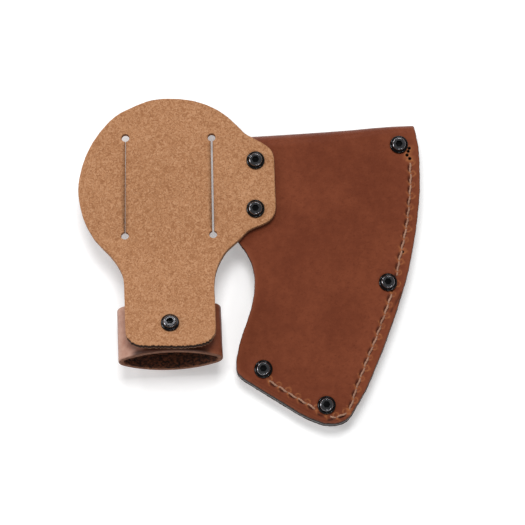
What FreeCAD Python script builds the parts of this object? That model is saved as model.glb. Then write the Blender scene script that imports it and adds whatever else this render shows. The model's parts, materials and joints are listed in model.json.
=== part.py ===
import FreeCAD, Part
import math
import os

# Leather belt sheath for a carving hatchet, lying flat with its belt side up.
# Millimetres. +Z is up, +X runs from the belt plate towards the bit edge, +Y towards the folded top.

V = FreeCAD.Vector
doc = FreeCAD.newDocument("HatchetSheath")

# ---------------------------------------------------------------- driving sizes
SIZES = [
    ("pocket_leather", 3.0, "pocket panel thickness"),
    ("plate_leather", 3.3, "belt plate thickness"),
    ("loop_leather", 2.4, "handle loop thickness"),
    ("welt_leather", 3.1, "welt thickness"),
    ("pocket_lift", 1.1, "far panel height above the ground, equal to the post flange"),
    ("mouth_top_height", 14.0, "near panel outer face at the mouth"),
    ("head_radius", 41.1, "round belt plate radius"),
    ("head_x", -34.1, "belt plate centre"),
    ("head_y", 31.1, "belt plate centre"),
    ("slit_hole_radius", 1.75, "round punched end of a belt slit"),
    ("slit_left_width", 0.3, "left belt slit"),
    ("slit_right_width", 0.9, "right belt slit"),
    ("bend_radius", 60.0, "underside radius of the neck bend"),
    ("tongue_angle", 15.0, "tongue slope in degrees"),
    ("loop_swivel_rest", 2.6, "loop turned about its screw at rest, degrees"),
    ("loop_width", 45.6, "handle loop outer width"),
    ("loop_depth", 20.5, "handle loop outer depth"),
    ("loop_strip", 25.1, "handle loop strip width"),
    ("loop_offset_x", -0.4, "middle of the loop beside its screw"),
    ("loop_offset_y", 1.1, "middle of the loop strip behind its screw"),
    ("loop_end_radius", 5.0, "outer bend radius at the loop sides"),
    ("loop_screw_x", -34.0, "loop screw axis"),
    ("loop_screw_y", -31.95, "loop screw axis at the tongue underside"),
    ("swivel_gap", 0.1, "gap each side of the loop wall so that it can turn"),
    ("tongue_end", 10.85, "tongue end beyond the loop screw"),
    ("fastener_hole_radius", 2.55, "leather holes for the post barrels"),
    ("swivel_hole_radius", 2.56, "loop hole running on its post barrel"),
    ("flange_radius", 4.05, "screw flange"),
    ("flange_height", 1.3, "screw flange"),
    ("flange_rim_fillet", 0.75, "screw flange rim rounding"),
    ("dome_radius", 3.0, "screw dome"),
    ("dome_height", 2.45, "screw dome top above the seat"),
    ("dome_fillet", 0.85, "screw dome rounding"),
    ("socket_radius", 1.6, "hex socket across corners, half"),
    ("socket_depth", 1.5, "hex socket"),
    ("shank_radius", 1.95, "screw shank"),
    ("post_flange_radius", 4.3, "post flange"),
    ("post_flange_height", 1.1, "post flange"),
    ("post_flange_fillet", 0.5, "post flange rounding"),
    ("barrel_radius", 2.5, "post barrel"),
    ("bore_radius", 2.0, "post bore"),
    ("shank_edge", 6.6, "shank length of the four edge screws"),
    ("shank_short", 4.8, "shank length of the tab and loop screws"),
    ("barrel_edge", 8.8, "barrel length of the four edge posts"),
    ("barrel_tab", 6.0, "barrel length of the two tab posts"),
    ("barrel_loop", 5.6, "barrel length of the loop post"),
    ("bore_floor", 0.8, "solid left between the bore and the post seat"),
    ("stitch_pitch", 5.0, "stitch spacing"),
    ("stitch_hole_radius", 0.6, "stitch holes"),
    ("bare_hole_radius", 0.55, "awl holes that hold no thread"),
    ("thread_radius", 0.45, "thread"),
    ("knot_radius", 0.48, "thread where it bends into a hole"),
    ("sunk_depth", 0.55, "thread axis below the leather where a flange covers the seam"),
]
sheet = doc.addObject("Spreadsheet::Sheet", "Sizes")
for row, (alias, value, note) in enumerate(SIZES, start=1):
    sheet.set("A%d" % row, note)
    sheet.set("B%d" % row, str(value))
    sheet.setAlias("B%d" % row, alias)
doc.recompute()


def size(alias):
    return float(sheet.get(alias))


PANEL = size("pocket_leather")
PLATE = size("plate_leather")
WALL = size("loop_leather")
WELT = size("welt_leather")
STACK = 2 * PANEL + WELT
LIFT = size("pocket_lift")
MOUTH = size("mouth_top_height") - LIFT
SLOPE = math.radians(size("tongue_angle"))
HOLE = size("fastener_hole_radius")

# plan positions of the fasteners
EDGE_SPOTS = {
    "toe": (66.5, 52.55),
    "bit": (61.1, -9.75),
    "heel_corner": (33.9, -64.35),
    "heel_mouth": (6.4, -48.45),
}
TAB_SPOTS = {
    "tab_upper": (2.9, 43.65),
    "tab_lower": (2.9, 21.75),
}


# ---------------------------------------------------------------- outline helpers
def points(pairs, z=0.0):
    return [V(x, y, z) for x, y in pairs]


def spline(pairs):
    curve = Part.BSplineCurve()
    curve.interpolate(points(pairs))
    return curve.toShape()


def line(a, b):
    return Part.makeLine(V(a[0], a[1], 0), V(b[0], b[1], 0))


def prism(edges, low, high):
    wire = Part.Wire(Part.__sortEdges__(edges))
    solid = Part.Face(wire).extrude(V(0, 0, high - low))
    solid.translate(V(0, 0, low))
    return solid


def post_hole(spot, low, high, radius=HOLE):
    return Part.makeCylinder(radius, high - low, V(spot[0], spot[1], low))


def cut_all(shape, tools):
    return shape.cut(Part.makeCompound(tools))


# ---------------------------------------------------------------- pocket outline
BIT_EDGE = [(74.3, 57.5), (75.2, 52.5), (75.6, 47.0), (75.8, 36.0), (74.9, 22.5), (72.8, 8.0),
            (69.5, -7.5), (65.7, -20.0), (61.0, -33.6), (55.7, -47.1), (50.7, -58.2), (46.2, -66.0)]
HEEL_CORNER = [(46.2, -66.0), (43.2, -70.1), (38.8, -72.2), (32.8, -72.3)]
HEEL_EDGE = [(32.8, -72.3), (25.8, -69.6), (13.7, -62.5), (1.1, -54.7), (-2.5, -52.3)]
MOUTH_CORNER = [(-2.5, -52.3), (-4.7, -50.0), (-5.6, -46.7), (-5.4, -43.0)]
MOUTH_EDGE = [(-5.4, -43.0), (-3.8, -36.0), (-1.5, -28.8), (1.15, -20.6), (2.3, -13.0), (2.1, -5.6),
              (-0.2, 1.0), (-3.8, 6.6), (-8.3, 13.2), (-11.6, 21.0), (-12.4, 30.0)]
TOE_CORNER = [(73.1, 66.0), (73.6, 61.6), (74.3, 57.5)]
FOLD_REACH = 66.0
MOUTH_LEFT = -12.4


def pocket_outline(low, high):
    edges = [
        spline(BIT_EDGE),
        spline(HEEL_CORNER),
        spline(HEEL_EDGE),
        spline(MOUTH_CORNER),
        spline(MOUTH_EDGE),
        line((MOUTH_LEFT, 30.0), (MOUTH_LEFT, FOLD_REACH)),
        line((MOUTH_LEFT, FOLD_REACH), TOE_CORNER[0]),
        spline(TOE_CORNER),
    ]
    return prism(edges, low, high)


# ---------------------------------------------------------------- blade pocket
# Each station is a cross-section at one x: fold top, crown line, inner line of the flat seam, reach,
# and the height of the near panel above the far panel's underside.
STATIONS = [
    # x, fold_y, crown_y, seam_y, reach_y, height
    (-20.0, 55.4, 12.0, -30.0, -90.0, MOUTH),
    (12.0, 57.35, 12.0, -48.0, -90.0, MOUTH),
    (33.0, 58.95, 6.0, -59.5, -90.0, MOUTH - 1.1),
    (45.0, 60.0, 8.0, -44.0, -90.0, MOUTH - 2.0),
    (55.0, 61.15, 14.0, -18.0, -90.0, STACK + 0.8),
    (64.0, 61.95, 20.0, 5.0, -90.0, STACK),
    (84.0, 62.8, 20.0, 5.0, -90.0, STACK),
]


def section(x, fold_y, crown_y, seam_y, reach_y, height):
    outer = height / 2.0
    inner = outer - PANEL
    root = fold_y - outer

    def at(y, z):
        return V(x, y, z)

    fold_outer = Part.Arc(at(root, 0), at(root + outer, outer), at(root, height)).toShape()
    fold_inner = Part.Arc(at(root, height - PANEL), at(root + inner, outer), at(root, PANEL)).toShape()
    near_outer = [at(root, height), at(crown_y, height), at(seam_y, STACK), at(reach_y, STACK)]
    near_inner = [at(reach_y, STACK - PANEL), at(seam_y, STACK - PANEL),
                  at(crown_y, height - PANEL), at(root, height - PANEL)]
    edges = [Part.makeLine(at(reach_y, 0), at(root, 0)), fold_outer]
    for a, b in zip(near_outer, near_outer[1:]):
        edges.append(Part.makeLine(a, b))
    edges.append(Part.makeLine(near_outer[-1], near_inner[0]))
    for a, b in zip(near_inner, near_inner[1:]):
        edges.append(Part.makeLine(a, b))
    edges.append(fold_inner)
    edges.append(Part.makeLine(at(root, PANEL), at(reach_y, PANEL)))
    edges.append(Part.makeLine(at(reach_y, PANEL), at(reach_y, 0)))
    return Part.Wire(edges)


BIT_SEAM = [(71.4, 44.6), (71.5, 35.0), (70.6, 24.0), (68.9, 12.0), (67.2, 4.5), (65.6, -2.5),
            (64.55, -10.0), (62.1, -16.0), (60.7, -20.9), (58.9, -26.0), (55.0, -36.3), (52.2, -43.2),
            (50.4, -47.9), (48.3, -53.1), (46.5, -58.4), (45.3, -62.8), (43.9, -66.4)]
HEEL_SEAM = [(42.7, -67.7), (40.4, -68.9), (36.6, -69.9), (32.3, -68.1), (28.8, -65.9), (23.1, -62.3),
             (16.5, -58.4), (11.5, -55.2), (8.7, -53.5)]
BARE_HOLES = [(71.1, 51.0), (70.6, 49.6), (70.1, 47.9), (71.3, 46.3), (67.6, 4.0)]
SUNK = size("sunk_depth")


def seam_spots(pairs, pitch):
    edge = spline(pairs)
    steps = max(1, round(edge.Length / pitch))
    return [(p.x, p.y) for p in edge.discretize(Number=steps + 1)]


BIT_SPOTS = seam_spots(BIT_SEAM, size("stitch_pitch"))
HEEL_SPOTS = seam_spots(HEEL_SEAM, size("stitch_pitch"))


def under_flange(a, b):
    """True where the run of thread from a to b passes under a screw flange and a post flange."""
    reach = size("post_flange_radius") + size("thread_radius") + 0.1
    run = V(b[0] - a[0], b[1] - a[1], 0)
    for x, y in EDGE_SPOTS.values():
        to_screw = V(x - a[0], y - a[1], 0)
        share = 0.0 if run.Length == 0 else to_screw.dot(run) / run.Length ** 2
        nearest = run * min(1.0, max(0.0, share))
        if (to_screw - nearest).Length < reach:
            return True
    return False


def bar(a, b, z, radius):
    run = V(b[0] - a[0], b[1] - a[1], 0)
    return Part.makeCylinder(radius, run.Length, V(a[0], a[1], z), run)


def stack_holes(low, high):
    tools = [post_hole(spot, low, high) for spot in EDGE_SPOTS.values()]
    for spot in BIT_SPOTS + HEEL_SPOTS:
        tools.append(post_hole(spot, low, high, size("stitch_hole_radius")))
    return tools


def blade_pocket():
    sheet_form = Part.makeLoft([section(*row) for row in STATIONS], True, True)
    shape = sheet_form.common(pocket_outline(-1.0, MOUTH + 1.0))
    tools = stack_holes(-1.0, STACK + 1.0)
    for spot in TAB_SPOTS.values():
        tools.append(post_hole(spot, MOUTH - PANEL - 0.5, MOUTH + 1.0))
    # the far panel's mouth is cut a little shorter than the near panel's, tapering in from the heel
    far_cutback = []
    for step, (x, y) in enumerate(MOUTH_EDGE):
        share = min(1.0, step / 2.0)
        far_cutback.append((x + 1.8 * share, y - 0.4 * share))
    a = far_cutback[0]
    b = far_cutback[-1]
    tools.append(prism([spline(far_cutback), line(b, (b[0], 70.0)), line((b[0], 70.0), (-30.0, 70.0)),
                        line((-30.0, 70.0), (-30.0, a[1])), line((-30.0, a[1]), a)], -1.0, PANEL + 0.5))
    for spot in BARE_HOLES:
        tools.append(post_hole(spot, -1.0, STACK + 1.0, size("bare_hole_radius")))
    # the near panel is pressed flat under each edge screw, and the seam lies in a groove under a flange
    for spot in EDGE_SPOTS.values():
        tools.append(post_hole(spot, STACK, MOUTH + 1.0, size("flange_radius") + 0.15))
    for spots in (BIT_SPOTS, HEEL_SPOTS):
        for a, b in zip(spots, spots[1:]):
            if under_flange(a, b):
                tools.append(bar(a, b, STACK - SUNK, size("stitch_hole_radius")))
                tools.append(bar(a, b, SUNK, size("stitch_hole_radius")))
    return cut_all(shape, tools)


# ---------------------------------------------------------------- welt
WELT_INNER = [(64.8, 57.0), (65.0, 40.0), (64.2, 24.0), (61.6, 8.0), (58.6, -7.0), (54.9, -19.5),
              (50.0, -33.0), (44.6, -46.0), (39.6, -57.0)]
WELT_TURN = [(39.6, -57.0), (36.6, -59.9), (32.0, -59.6)]
WELT_HEEL = [(32.0, -59.6), (20.0, -53.6), (8.0, -46.2), (-7.0, -37.4)]


def welt():
    shape = pocket_outline(0.0, WELT)
    hollow = [spline(WELT_INNER), spline(WELT_TURN), spline(WELT_HEEL),
              line((-7.0, -37.4), (-30.0, -37.4)), line((-30.0, -37.4), (-30.0, 70.0)),
              line((-30.0, 70.0), (64.8, 70.0)), line((64.8, 70.0), (64.8, 57.0))]
    tools = stack_holes(-1.0, WELT + 1.0)
    tools.append(prism(hollow, -1.0, WELT + 1.0))
    tools.append(Part.makeBox(200.0, 40.0, WELT + 2.0, V(-60.0, 56.8, -1.0)))
    return cut_all(shape, tools)


# ---------------------------------------------------------------- belt plate
HEAD_X = size("head_x")
HEAD_Y = size("head_y")
HEAD_R = size("head_radius")
HEAD_BASE = LIFT + MOUTH
LOOP_X = size("loop_screw_x")
LOOP_Y = size("loop_screw_y")
GAP = size("swivel_gap")
LOOP_DEPTH = size("loop_depth")
STRIP = size("loop_strip")
STRIP_BACK = STRIP / 2.0 + size("loop_offset_y")
SWIVEL = math.radians(size("loop_swivel_rest"))
# the loop stands on its far wall, so its depth and slope set the height of the tongue
LOOP_Z = STRIP_BACK * math.cos(SWIVEL) * math.sin(SLOPE) + (LOOP_DEPTH + GAP) * math.cos(SLOPE) + 0.04
NECK_LEFT = -54.3
NECK_RIGHT = -14.9
TONGUE_ROOT = 14.0


def head_point(degrees, deviation):
    """A point of the round head. It was cut by hand, so it leaves a true circle by the deviation."""
    a = math.radians(degrees)
    radius = HEAD_R + deviation
    return (HEAD_X + radius * math.cos(a), HEAD_Y + radius * math.sin(a))


# angle in degrees and deviation from the circle
HEAD_CUT = [(41, -0.45), (52, -0.35), (64, -0.1), (78, -0.2), (92, -0.2), (106, 0.0), (116, -0.25),
            (127, 0.1), (137, -0.25), (147, -0.5), (160, -0.5), (171, -0.4), (180, -0.05), (192, -0.2),
            (203, -0.2), (214, -0.3)]
HEAD_EDGE = [head_point(*cut) for cut in HEAD_CUT]
TAB_TOP = [HEAD_EDGE[0], (-1.3, 55.8), (1.8, 54.0), (4.7, 52.4)]
TAB_UPPER_CORNER = [(4.7, 52.4), (7.8, 50.5), (10.1, 48.1), (11.15, 44.4)]
TAB_LOWER_CORNER = [(11.9, 23.2), (11.4, 19.7), (9.4, 16.8), (6.2, 14.8)]
TAB_UNDER = [(6.2, 14.8), (2.8, 13.5), (-0.4, 11.7), (-3.3, 8.6), (-7.3, 4.8), (-10.3, 1.4),
             (-12.3, -2.4), (-13.95, -6.6), (-14.75, -11.2), (NECK_RIGHT, -14.0)]
NECK_CURVE = [(NECK_LEFT, -15.0), (-54.55, -11.6), (-55.55, -7.9), (-57.65, -4.0), (-60.65, 0.2),
              (-65.1, 5.0), HEAD_EDGE[-1]]
NECK_CUT_Y = -30.0


def plate_outline(low, high):
    edges = [
        spline(HEAD_EDGE),
        spline(NECK_CURVE[::-1]),
        line(NECK_CURVE[0], (NECK_LEFT, NECK_CUT_Y)),
        line((NECK_LEFT, NECK_CUT_Y), (NECK_RIGHT, NECK_CUT_Y)),
        line((NECK_RIGHT, NECK_CUT_Y), TAB_UNDER[-1]),
        spline(TAB_UNDER),
        spline(TAB_LOWER_CORNER),
        line(TAB_LOWER_CORNER[0], TAB_UPPER_CORNER[-1]),
        spline(TAB_UPPER_CORNER),
        spline(TAB_TOP),
    ]
    return prism(edges, low, high)


def belt_carrier():
    # side profile in the YZ plane: flat head, bend, then straight slope to the tongue root
    bend = size("bend_radius")
    rise = bend * (1 - math.cos(SLOPE))
    bend_end_y = LOOP_Y + (LOOP_Z - HEAD_BASE - rise) / math.tan(SLOPE)
    bend_y = bend_end_y + bend * math.sin(SLOPE)
    normal = V(0, math.sin(SLOPE), math.cos(SLOPE))
    along = V(0, -math.cos(SLOPE), math.sin(SLOPE))
    screw = V(0, LOOP_Y, LOOP_Z)
    far = V(0, 80.0, HEAD_BASE)
    root_low = screw - along * TONGUE_ROOT
    centre = V(0, bend_y, HEAD_BASE + bend)

    def on_bend(radius, angle):
        return centre + V(0, -radius * math.sin(angle), -radius * math.cos(angle))

    low_arc = Part.Arc(on_bend(bend, 0), on_bend(bend, SLOPE / 2), on_bend(bend, SLOPE)).toShape()
    inner = bend - PLATE
    high_arc = Part.Arc(on_bend(inner, SLOPE), on_bend(inner, SLOPE / 2), on_bend(inner, 0)).toShape()
    root_high = root_low + normal * PLATE
    profile = Part.Wire([
        Part.makeLine(far, on_bend(bend, 0)),
        low_arc,
        Part.makeLine(on_bend(bend, SLOPE), root_low),
        Part.makeLine(root_low, root_high),
        Part.makeLine(root_high, on_bend(inner, SLOPE)),
        high_arc,
        Part.makeLine(on_bend(inner, 0), far + V(0, 0, PLATE)),
        Part.makeLine(far + V(0, 0, PLATE), far),
    ])
    slab = Part.Face(profile).extrude(V(120.0, 0, 0))
    slab.translate(V(-90.0, 0, 0))
    shape = slab.common(plate_outline(0.0, 60.0))

    # tongue, drawn flat about the loop screw and tilted onto the slope
    end = -size("tongue_end")
    left = NECK_LEFT - LOOP_X
    right = NECK_RIGHT - LOOP_X
    tip = [(left + 1.0, -3.5), (left + 1.5, -6.0), (left + 3.6, -8.8), (left + 6.6, end + 0.5),
           (left + 10.5, end + 0.1), (0.0, end), (right - 9.0, end + 0.3), (right - 5.0, end + 1.1),
           (right - 1.6, -7.9), (right + 0.2, -5.2), (right + 0.9, -2.5)]
    tongue_edges = [
        line((left, TONGUE_ROOT), tip[0]),
        spline(tip),
        line(tip[-1], (right, TONGUE_ROOT)),
        line((right, TONGUE_ROOT), (left, TONGUE_ROOT)),
    ]
    tongue = prism(tongue_edges, 0.0, PLATE)
    tongue = tongue.cut(post_hole((0, 0), -1.0, PLATE + 1.0))
    tongue.Placement = FreeCAD.Placement(V(LOOP_X, LOOP_Y, LOOP_Z), FreeCAD.Rotation(V(1, 0, 0), -math.degrees(SLOPE)))
    shape = shape.fuse(tongue).removeSplitter()

    tools = [post_hole(spot, HEAD_BASE - 2.0, HEAD_BASE + PLATE + 2.0) for spot in TAB_SPOTS.values()]
    slits = [((-54.5, 53.9), (-54.3, 9.6), size("slit_left_width")),
             ((-16.5, 54.2), (-15.6, 10.3), size("slit_right_width"))]
    for top, bottom, width in slits:
        a = V(top[0], top[1], 0)
        b = V(bottom[0], bottom[1], 0)
        side = (b - a).cross(V(0, 0, 1)).normalize() * (width / 2.0)
        corners = [a + side, b + side, b - side, a - side, a + side]
        slot = Part.Face(Part.makePolygon(corners)).extrude(V(0, 0, 60.0))
        tools.append(slot)
        for spot in (top, bottom):
            tools.append(post_hole(spot, 0.0, 60.0, size("slit_hole_radius")))
    return cut_all(shape, tools)


# ---------------------------------------------------------------- handle loop
def oval_wire(half_width, half_depth, end_radius, y):
    # four tangent arcs: two shallow walls and two tight sides
    a = half_width
    b = half_depth
    r = end_radius
    wall = ((a - r) ** 2 + b ** 2 - r ** 2) / (2 * (b - r))
    lean = math.atan2(a - r, wall - b)
    touch = V(wall * math.sin(lean), y, wall * math.cos(lean) - (wall - b))

    def corner(sx, sz):
        return V(sx * touch.x, y, sz * touch.z)

    return Part.Wire([
        Part.Arc(corner(-1, 1), V(0, y, b), corner(1, 1)).toShape(),
        Part.Arc(corner(1, 1), V(a, y, 0), corner(1, -1)).toShape(),
        Part.Arc(corner(1, -1), V(0, y, -b), corner(-1, -1)).toShape(),
        Part.Arc(corner(-1, -1), V(-a, y, 0), corner(-1, 1)).toShape(),
    ])


def handle_loop():
    a = size("loop_width") / 2.0
    b = LOOP_DEPTH / 2.0
    r = size("loop_end_radius")
    ring = Part.Face([oval_wire(a, b, r, 0.0), oval_wire(a - WALL, b - WALL, r - WALL, 0.0)])
    ring.validate()
    shape = ring.extrude(V(0, STRIP, 0))
    shape.translate(V(size("loop_offset_x"), STRIP_BACK - STRIP, -GAP - b))
    seat = -GAP - WALL
    tools = [post_hole((0, 0), seat - 1.0, 1.0, size("swivel_hole_radius")),
             post_hole((0, 0), seat - 3.0, seat, size("post_flange_radius") + 0.3)]
    return cut_all(shape, tools)


# ---------------------------------------------------------------- seam thread
def seam_thread(spots):
    radius = size("thread_radius")
    knot = size("knot_radius")
    open_levels = (radius + 0.05, LIFT + STACK + radius + 0.05)
    sunk_levels = (LIFT + SUNK, LIFT + STACK - SUNK)
    pieces = []
    for spot in spots:
        low, high = sunk_levels if under_flange(spot, spot) else open_levels
        pieces.append(post_hole(spot, low, high, radius))
        pieces.append(Part.makeSphere(knot, V(spot[0], spot[1], low)))
        pieces.append(Part.makeSphere(knot, V(spot[0], spot[1], high)))
    for a, b in zip(spots, spots[1:]):
        pressed = under_flange(a, b)
        for level in sunk_levels if pressed else open_levels:
            pieces.append(bar(a, b, level, radius - 0.05 if pressed else radius))
    return pieces[0].fuse(pieces[1:])


# ---------------------------------------------------------------- sub-parts made from shapes
def shape_part(name, shape, placement):
    part = doc.addObject("Part::Feature", name)
    part.Label = name
    part.Shape = shape
    part.Placement = placement
    return part


def placed(x, y, z, tilt=0.0, turn=0.0):
    spin = FreeCAD.Rotation(V(1, 0, 0), tilt).multiply(FreeCAD.Rotation(V(0, 0, 1), turn))
    return FreeCAD.Placement(V(x, y, z), spin)


TILT = -size("tongue_angle")
parts = [
    shape_part("belt_carrier", belt_carrier(), placed(0, 0, 0)),
    shape_part("blade_pocket", blade_pocket(), placed(0, 0, LIFT)),
    shape_part("welt", welt(), placed(0, 0, LIFT + PANEL)),
    shape_part("handle_loop", handle_loop(), placed(LOOP_X, LOOP_Y, LOOP_Z, TILT, size("loop_swivel_rest"))),
    shape_part("bit_seam_thread", seam_thread(BIT_SPOTS), placed(0, 0, 0)),
    shape_part("heel_seam_thread", seam_thread(HEEL_SPOTS), placed(0, 0, 0)),
]


# ---------------------------------------------------------------- fasteners
def bind(item, prop, expression):
    item.setExpression(prop, expression)


def cylinder(body, name, radius, height, base="0 mm", cut=False):
    kind = "PartDesign::SubtractiveCylinder" if cut else "PartDesign::AdditiveCylinder"
    item = body.newObject(kind, name)
    bind(item, "Radius", radius)
    bind(item, "Height", height)
    bind(item, ".Placement.Base.z", base)
    return item


def round_edge(body, name, source, radius, z, fillet_alias):
    doc.recompute()
    names = []
    for number, edge in enumerate(source.Shape.Edges, start=1):
        flat = edge.BoundBox.ZLength < 0.001 and abs(edge.BoundBox.ZMin - z) < 0.001
        if flat and isinstance(edge.Curve, Part.Circle) and abs(edge.Curve.Radius - radius) < 0.001:
            names.append("Edge%d" % number)
    item = body.newObject("PartDesign::Fillet", name)
    item.Base = (source, names)
    bind(item, "Radius", fillet_alias)
    return item


def screw(name, placement, shank_alias):
    body = doc.addObject("PartDesign::Body", name)
    body.Label = name
    cylinder(body, name + "_shank", "Sizes.shank_radius", "Sizes." + shank_alias + " + 0.5",
             "-Sizes." + shank_alias)
    flange = cylinder(body, name + "_flange", "Sizes.flange_radius", "Sizes.flange_height")
    rim = round_edge(body, name + "_rim", flange, size("flange_radius"), size("flange_height"),
                     "Sizes.flange_rim_fillet")
    body.Tip = rim
    dome = cylinder(body, name + "_dome", "Sizes.dome_radius", "Sizes.dome_height")
    crown = round_edge(body, name + "_crown", dome, size("dome_radius"), size("dome_height"),
                       "Sizes.dome_fillet")
    body.Tip = crown
    socket = body.newObject("PartDesign::SubtractivePrism", name + "_socket")
    socket.Polygon = 6
    bind(socket, "Circumradius", "Sizes.socket_radius")
    bind(socket, "Height", "Sizes.socket_depth + 1")
    bind(socket, ".Placement.Base.z", "Sizes.dome_height - Sizes.socket_depth")
    body.Tip = socket
    body.Placement = placement
    return body


def post(name, placement, barrel_alias):
    body = doc.addObject("PartDesign::Body", name)
    body.Label = name
    flange = cylinder(body, name + "_flange", "Sizes.post_flange_radius", "Sizes.post_flange_height",
                      "-Sizes.post_flange_height")
    rim = round_edge(body, name + "_rim", flange, size("post_flange_radius"), -size("post_flange_height"),
                     "Sizes.post_flange_fillet")
    body.Tip = rim
    cylinder(body, name + "_barrel", "Sizes.barrel_radius", "Sizes." + barrel_alias)
    bore = cylinder(body, name + "_bore", "Sizes.bore_radius",
                    "Sizes." + barrel_alias + " - Sizes.bore_floor + 1", "Sizes.bore_floor", cut=True)
    body.Tip = bore
    body.Placement = placement
    return body


for label, (x, y) in EDGE_SPOTS.items():
    parts.append(screw(label + "_screw", placed(x, y, LIFT + STACK), "shank_edge"))
    parts.append(post(label + "_post", placed(x, y, LIFT), "barrel_edge"))
for label, (x, y) in TAB_SPOTS.items():
    parts.append(screw(label + "_screw", placed(x, y, HEAD_BASE + PLATE), "shank_short"))
    parts.append(post(label + "_post", placed(x, y, HEAD_BASE - PANEL), "barrel_tab"))
AXIS = V(0, math.sin(SLOPE), math.cos(SLOPE))
SPOT = V(LOOP_X, LOOP_Y, LOOP_Z)
TOP = SPOT + AXIS * PLATE
SEAT = SPOT - AXIS * (WALL + 2 * GAP)
parts.append(screw("loop_screw", placed(TOP.x, TOP.y, TOP.z, TILT), "shank_short"))
parts.append(post("loop_post", placed(SEAT.x, SEAT.y, SEAT.z, TILT), "barrel_loop"))

doc.recompute()

# ---------------------------------------------------------------- checks and export
for item in doc.Objects:
    bad = [state for state in item.State if state in ("Invalid", "Error")]
    if bad:
        raise RuntimeError("%s is %s" % (item.Label, bad))
os.makedirs("parts", exist_ok=True)
for part in parts:
    shape = part.Shape
    if shape.isNull() or not shape.isValid() or shape.Volume <= 0:
        raise RuntimeError("%s has no valid shape" % part.Label)
    shape.exportStep("parts/%s.step" % part.Label)
    box = shape.BoundBox
    print("%-18s solids %d volume %9.2f  x %.2f..%.2f  y %.2f..%.2f  z %.2f..%.2f" % (
        part.Label, len(shape.Solids), shape.Volume, box.XMin, box.XMax, box.YMin, box.YMax, box.ZMin, box.ZMax))
print("loop underside height", round(LOOP_Z, 3))
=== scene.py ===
import json
import math
import bmesh
import bpy
import numpy as np
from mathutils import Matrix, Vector
from mathutils.geometry import delaunay_2d_cdt


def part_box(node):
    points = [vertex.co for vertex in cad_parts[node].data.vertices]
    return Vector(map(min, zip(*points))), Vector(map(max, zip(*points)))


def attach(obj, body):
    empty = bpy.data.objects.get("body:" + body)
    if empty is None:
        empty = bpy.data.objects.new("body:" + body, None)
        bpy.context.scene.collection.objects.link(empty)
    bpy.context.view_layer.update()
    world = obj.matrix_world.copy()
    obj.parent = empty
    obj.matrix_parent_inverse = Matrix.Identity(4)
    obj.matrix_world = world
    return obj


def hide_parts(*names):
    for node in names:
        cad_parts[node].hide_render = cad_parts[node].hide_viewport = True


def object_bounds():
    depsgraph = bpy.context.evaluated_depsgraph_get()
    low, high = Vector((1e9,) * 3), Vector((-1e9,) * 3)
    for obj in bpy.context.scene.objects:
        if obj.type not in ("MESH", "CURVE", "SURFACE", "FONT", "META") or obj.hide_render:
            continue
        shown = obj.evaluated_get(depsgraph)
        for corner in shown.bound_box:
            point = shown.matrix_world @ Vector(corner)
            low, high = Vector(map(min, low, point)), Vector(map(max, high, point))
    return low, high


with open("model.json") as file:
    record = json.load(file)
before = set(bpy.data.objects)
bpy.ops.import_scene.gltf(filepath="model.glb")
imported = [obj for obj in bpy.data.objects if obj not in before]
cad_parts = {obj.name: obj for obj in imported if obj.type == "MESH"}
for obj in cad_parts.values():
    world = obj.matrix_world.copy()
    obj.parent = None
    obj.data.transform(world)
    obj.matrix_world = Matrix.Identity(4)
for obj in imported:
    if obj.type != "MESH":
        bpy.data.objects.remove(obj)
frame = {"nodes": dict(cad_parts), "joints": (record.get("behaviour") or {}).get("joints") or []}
cad_low, cad_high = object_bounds()

# Leather belt sheath for a carving hatchet, lying flat, belt side up.
# Shapes are worked out in millimetres in the CAD frame and turned to metres when a mesh is made.
MM = 0.001


def node_centre(name):
    low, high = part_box(name)
    return (low + high) / 2 / MM


# ---- facts read from the frame
JOINT = frame["joints"][0]
SWIVEL_POINT = Vector(JOINT["pos_m"]) / MM
SWIVEL_AXIS = Vector(JOINT["axis"]).normalized()
SLOPE = math.atan2(SWIVEL_AXIS.y, SWIVEL_AXIS.z)
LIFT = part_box("blade_pocket")[0].z / MM
POCKET_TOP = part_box("blade_pocket")[1].z / MM
HEAD_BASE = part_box("belt_carrier")[0].z / MM
SCREW_HEAD = 2.45
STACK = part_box("toe_screw")[1].z / MM - SCREW_HEAD - LIFT
MOUTH = POCKET_TOP - LIFT
EDGE_SCREWS = ["toe", "bit", "heel_corner", "heel_mouth"]
TAB_SCREWS = ["tab_upper", "tab_lower"]
EDGE_SPOTS = [tuple(node_centre(n + "_screw").to_2d()) for n in EDGE_SCREWS]
TAB_SPOTS = [tuple(node_centre(n + "_screw").to_2d()) for n in TAB_SCREWS]

# leather thicknesses and small sizes, in millimetres
PANEL = 3.0
PLATE = 3.3
WALL = 2.4
WELT = STACK - 2 * PANEL
HOLE_RADIUS = 2.55
FLANGE_RADIUS = 4.05
POST_FLANGE_RADIUS = 4.3
BARE_HOLE_RADIUS = 0.55
STITCH_PITCH = 5.0
SLIT_END_RADIUS = 1.75
SLITS = [((-54.5, 53.9), (-54.3, 9.6), 0.26), ((-16.5, 54.2), (-15.6, 10.3), 0.85)]

# how finely curves and nets are drawn
CURVE_STEP = 0.8
CHUNK = 4000


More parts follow.
